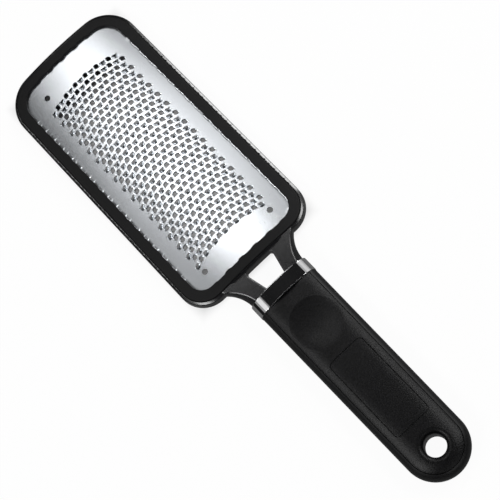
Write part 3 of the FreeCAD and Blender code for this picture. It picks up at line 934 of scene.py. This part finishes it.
def makeRaspPlate(material):
    bm = bmesh.new()
    bm.from_mesh(toothField(material))
    border = fieldBorder(bm)
    print("tooth field:", len(bm.faces), "faces, border of", len(border))
    verts, tris = plateMargin(border)
    made = [bm.verts.new(v) for v in verts]
    for t in tris:
        bm.faces.new([made[i] for i in t])
    faceUp(bm, sheet["weld"])
    bmesh.ops.scale(bm, vec=(mm, mm, mm), verts=bm.verts)
    for face in bm.faces:
        face.material_index = 0  # the node tree leaves the teeth in another slot
    mesh = bpy.data.meshes.new("raspPlate")
    bm.to_mesh(mesh)
    bm.free()
    obj = addObject("raspPlate", mesh)
    thicken = obj.modifiers.new("thickness", "SOLIDIFY")
    thicken.thickness = sheet["thick"] * mm
    thicken.offset = -1
    thicken.material_offset = 1
    thicken.material_offset_rim = 1
    for _ in range(2):  # outside and inside, told apart by their slot
        mesh.materials.append(material)
    mesh = bakeModifiers(obj)
    # painted shade: marks the inside faces that take the dark inside tone
    inside = mesh.attributes.new("inside", "FLOAT", "CORNER")
    for poly in mesh.polygons:
        for i in poly.loop_indices:
            inside.data[i].value = float(poly.material_index)
    finishPiece(obj, "rasp_plate", material, sharp=33)


makeRaspPlate(satinSteel())
makeBezel(grainyMaterial("matteBlack", matteBlack))
makeCarrier(grainyMaterial("glossBlack", glossBlack))
makeFerrule(grainyMaterial("chromePlate", chromePlate))
makeCore(grainyMaterial("hardSatin", hardSatin))
gripSkin = grainyMaterial("softTouch", softTouch)
makeFrontGrip(gripSkin)
makeRearGrip(gripSkin)

# stage, in metres: pale floor, soft lights

# underShare and farFade set a weak painted glow on the floor under the head and its painted fade to dark
# towards the far end
stage = {"floor": 3.0, "drop": 0.0002, "tone": 0.93, "whiteShare": 0.95, "mirrorShare": 0.16,
         "underShare": 0.12, "shade": (-0.061, 0.066, 0.030, 0.006), "farFade": (-0.112, -0.09),
         "air": (0.95, 0.97, 1.0), "airStrength": 0.012}


def makeFloor():
    bm = bmesh.new()
    bmesh.ops.create_grid(bm, x_segments=1, y_segments=1, size=stage["floor"] / 2)
    mesh = bpy.data.meshes.new("floor")
    bm.to_mesh(mesh)
    bm.free()
    mesh.transform(Matrix.Translation((0, 0, -stage["drop"])))
    floor = addObject("floor", mesh)
    matte = {"Base Color": (stage["tone"],) * 3 + (1,), "Roughness": 0.9, "Specular IOR Level": 0.0}
    material, tree, shader = newMaterial("paleFloor", matte)
    make = nodeMaker(tree)
    # white paper to the eye and plain grey in reflections; under the head most of its own shade is kept,
    # lifted by a weak painted glow that fades to none towards the far end as painted shade
    ray = make.add("ShaderNodeLightPath").outputs
    mirrored = make.math("MAXIMUM", ray["Is Glossy Ray"], ray["Is Transmission Ray"])
    spot = make.add("ShaderNodeSeparateXYZ", make.add("ShaderNodeTexCoord").outputs["Object"]).outputs
    middle, halfLength, halfWidth, soft = stage["shade"]
    beyondX = make.math("SUBTRACT", make.math("ABSOLUTE", make.math("SUBTRACT", spot[0], middle)), halfLength)
    beyondY = make.math("SUBTRACT", make.math("ABSOLUTE", spot[1]), halfWidth)
    beyond = make.math("MAXIMUM", beyondX, beyondY)
    # painted light and shade: a weak glow under the head, fading to none towards the far end
    under = make.add("ShaderNodeMapRange", spot[0], *stage["farFade"], 0.0, stage["underShare"])
    clear = make.add("ShaderNodeMapRange", beyond, -soft, soft, under.outputs[0], stage["whiteShare"])
    level = make.add("ShaderNodeMapRange", mirrored, 0.0, 1.0, 1.0, stage["mirrorShare"])
    glow = make.add("ShaderNodeEmission", (1, 1, 1, 1), level.outputs[0])
    below = make.add("ShaderNodeNewGeometry").outputs["Backfacing"]
    plain = make.math("MAXIMUM", clear.outputs[0], below)
    share = make.math("MAXIMUM", mirrored, make.math("MULTIPLY", ray["Is Camera Ray"], plain))
    mixed = make.add("ShaderNodeMixShader", share, shader.outputs[0], glow.outputs[0])
    tree.links.new(mixed.outputs[0], tree.nodes["Material Output"].inputs["Surface"])
    mesh.materials.append(material)


# each lamp: where it stands, what it faces, width, height, watts
lamps = {
    "rightBox": ((-0.10, 0.82, 0.36), (-0.10, 0, 0), 0.82, 0.62, 0.75),
    "rightCore": ((-0.10, 0.78, 0.38), (-0.10, 0, 0), 0.82, 0.28, 0.16),
    "leftBox": ((0.01, -0.68, 0.62), (0.01, 0, 0), 0.6, 0.54, 0.33),
    "leftCore": ((0.01, -0.63, 0.65), (0.01, 0, 0), 0.6, 0.28, 0.30),
    "rightEdge": ((-0.38, 0.705, 0.405), (-0.38, 0.03, 0), 0.24, 0.18, 1.9),
    "leftEdge": ((-0.46, -0.575, 0.535), (-0.46, 0.03, 0), 0.36, 0.08, 0.60),
    "rightFlash": ((0.12, 0.60, 0.66), (0.12, 0.015, 0), 0.5, 0.18, 2.6),
    "leftFlash": ((0.12, -0.60, 0.66), (0.12, -0.015, 0), 0.5, 0.18, 2.6),
    "headPanel": ((-0.73, 0.12, 0.86), (-0.08, 0.12, 0), 0.42, 0.36, 0.48),
    "midPanel": ((-0.52, 0.01, 0.97), (-0.05, 0.01, 0), 0.60, 0.20, 0.50),
    "leftStrip": ((-0.50, -0.20, 0.97), (-0.05, -0.20, 0), 0.12, 0.24, 0.10),
    "leftFill": ((-0.44, -0.44, 0.92), (-0.05, -0.44, 0), 0.34, 0.18, 0.10),
    "rightFill": ((-0.50, 0.46, 0.92), (-0.05, 0.46, 0), 0.36, 0.24, 0.32),
    "nearPanel": ((-0.46, 0.08, 1.02), (-0.02, 0.08, 0), 0.42, 0.13, 0.78),
    "handleBox": ((0.9, 0.05, 0.60), (-0.08, 0.05, 0), 0.8, 0.30, 0.9),
    "farBox": ((-1.05, 0.0, 0.36), (-0.06, 0, 0), 0.9, 0.3, 0.5),
}


def softLight(name, at, aim, width, height, power):
    lamp = bpy.data.lights.new(name, "AREA")
    lamp.shape = "RECTANGLE"
    lamp.size, lamp.size_y = width, height
    lamp.energy = power
    obj = addObject(name, lamp)
    obj.location = at
    obj.rotation_euler = (Vector(aim) - Vector(at)).to_track_quat("-Z", "Y").to_euler()


# camera at the photograph's angle: degrees, then mm, with the clip planes in metres
view = {"azimuth": -2.98, "elevation": 70.78, "roll": -40.85, "distance": 612.2, "target": (2.41, 1.15, 5.0),
        "lens": 102.58, "sensor": 36, "clip": (0.01, 20)}


def makeCamera():
    a, e, r = (math.radians(view[k]) for k in ("azimuth", "elevation", "roll"))
    back = Vector((math.cos(e) * math.cos(a), math.cos(e) * math.sin(a), math.sin(e)))
    level = Vector((-math.sin(a), math.cos(a), 0))
    rise = back.cross(level)
    right = math.cos(r) * level + math.sin(r) * rise
    up = -math.sin(r) * level + math.cos(r) * rise
    camera = addObject("camera", bpy.data.cameras.new("camera"))
    camera.data.lens, camera.data.sensor_width = view["lens"], view["sensor"]
    camera.data.clip_start, camera.data.clip_end = view["clip"]
    camera.matrix_world = Matrix((right, up, back)).transposed().to_4x4()
    camera.location = (Vector(view["target"]) + back * view["distance"]) * mm
    bpy.context.scene.camera = camera


makeFloor()
for lampName, lampPlace in lamps.items():
    softLight(lampName, *lampPlace)
world = bpy.context.scene.world or bpy.data.worlds.new("studio")
bpy.context.scene.world = world
world.use_nodes = True
surround = world.node_tree.nodes["Background"].inputs
surround["Color"].default_value = (*stage["air"], 1)
surround["Strength"].default_value = stage["airStrength"]
makeCamera()
bpy.context.scene.view_settings.view_transform = "Standard"

print("stage ready")
